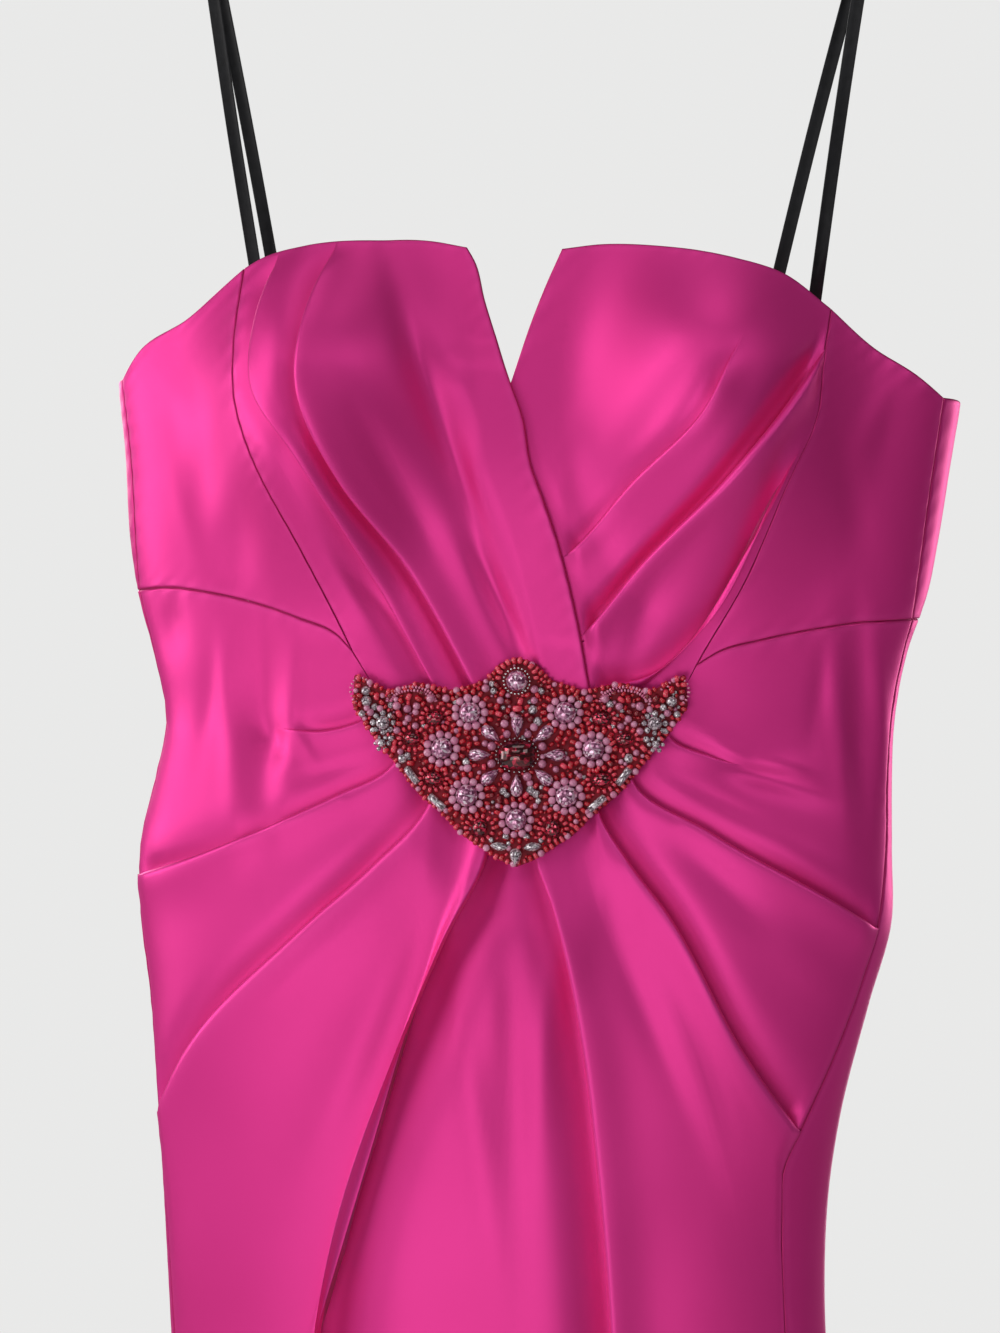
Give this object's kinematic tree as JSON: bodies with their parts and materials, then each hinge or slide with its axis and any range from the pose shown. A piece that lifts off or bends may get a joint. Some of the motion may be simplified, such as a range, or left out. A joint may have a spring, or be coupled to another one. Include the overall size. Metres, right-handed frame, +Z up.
{
  "type": "strapless dress on a clothes hanger",
  "caption": "Strapless pink satin sheath dress with draped cups, a notched neckline, pleats that spread from a beaded ornament, and tapes that hold it on a plain hanger.",
  "frame": {"origin": "crown inside the hanger's hook, where a rail bears", "axes": "+Z up; the dress's front faces -Y; +X to the right as seen from the front"},
  "size_m": [0.4231, 0.1163, 1.1735],
  "materials": {
    "satin": "heavy satin",
    "zip_tape": "matt",
    "zip_metal": "polished",
    "tape": "satin",
    "bead_ground": "beaded",
    "red_glass": "cut",
    "pink_glass": "cut",
    "clear_glass": "cut",
    "wood": "varnished",
    "wire": "polished"
  },
  "bodies": {
    "dress": {"cup_left": "satin", "cup_right": "satin", "side_front_left": "satin", "side_front_right": "satin", "back_bodice_left": "satin", "back_bodice_right": "satin", "skirt_front": "satin", "skirt_back_left": "satin", "skirt_back_right": "satin", "zip_chain": "zip_tape", "zip_slider": "zip_metal", "hanging_loop_left": "tape", "hanging_loop_right": "tape", "motif_backing": "bead_ground", "stone_centre": "red_glass", "stone_tail": "clear_glass", "stone_drop_1": "pink_glass", "stone_drop_2": "pink_glass", "stone_drop_3": "pink_glass", "stone_drop_4": "pink_glass", "stone_drop_5": "pink_glass", "stone_drop_6": "pink_glass", "stone_drop_7": "pink_glass", "stone_drop_8": "pink_glass", "stone_rose_1": "pink_glass", "stone_rose_2": "pink_glass", "stone_rose_3": "pink_glass", "stone_rose_4": "pink_glass", "stone_rose_5": "pink_glass", "stone_rose_6": "pink_glass", "stone_rose_7": "pink_glass", "stone_rose_8": "pink_glass", "stone_oval_1": "red_glass", "stone_oval_2": "red_glass", "stone_oval_3": "red_glass", "stone_oval_4": "red_glass", "stone_oval_5": "red_glass", "stone_oval_6": "red_glass", "stone_oval_7": "red_glass", "stone_oval_8": "red_glass", "stone_wing_1": "clear_glass", "stone_wing_2": "clear_glass", "stone_leaf_1": "clear_glass", "stone_leaf_2": "clear_glass", "stone_leaf_3": "clear_glass", "stone_leaf_4": "clear_glass", "stone_leaf_5": "clear_glass", "stone_leaf_6": "clear_glass", "hanger_arms": "wood", "hanger_hook": "wire"},
    "pull": {"zip_pull": "zip_metal"}
  },
  "joints": [
    {"name": "zip_pull_hinge", "type": "hinge", "parent": "dress", "child": "pull", "pos_m": [0, 0.02122, -0.415], "axis": [1, 0, 0], "range_deg": [0, 150]}
  ]
}
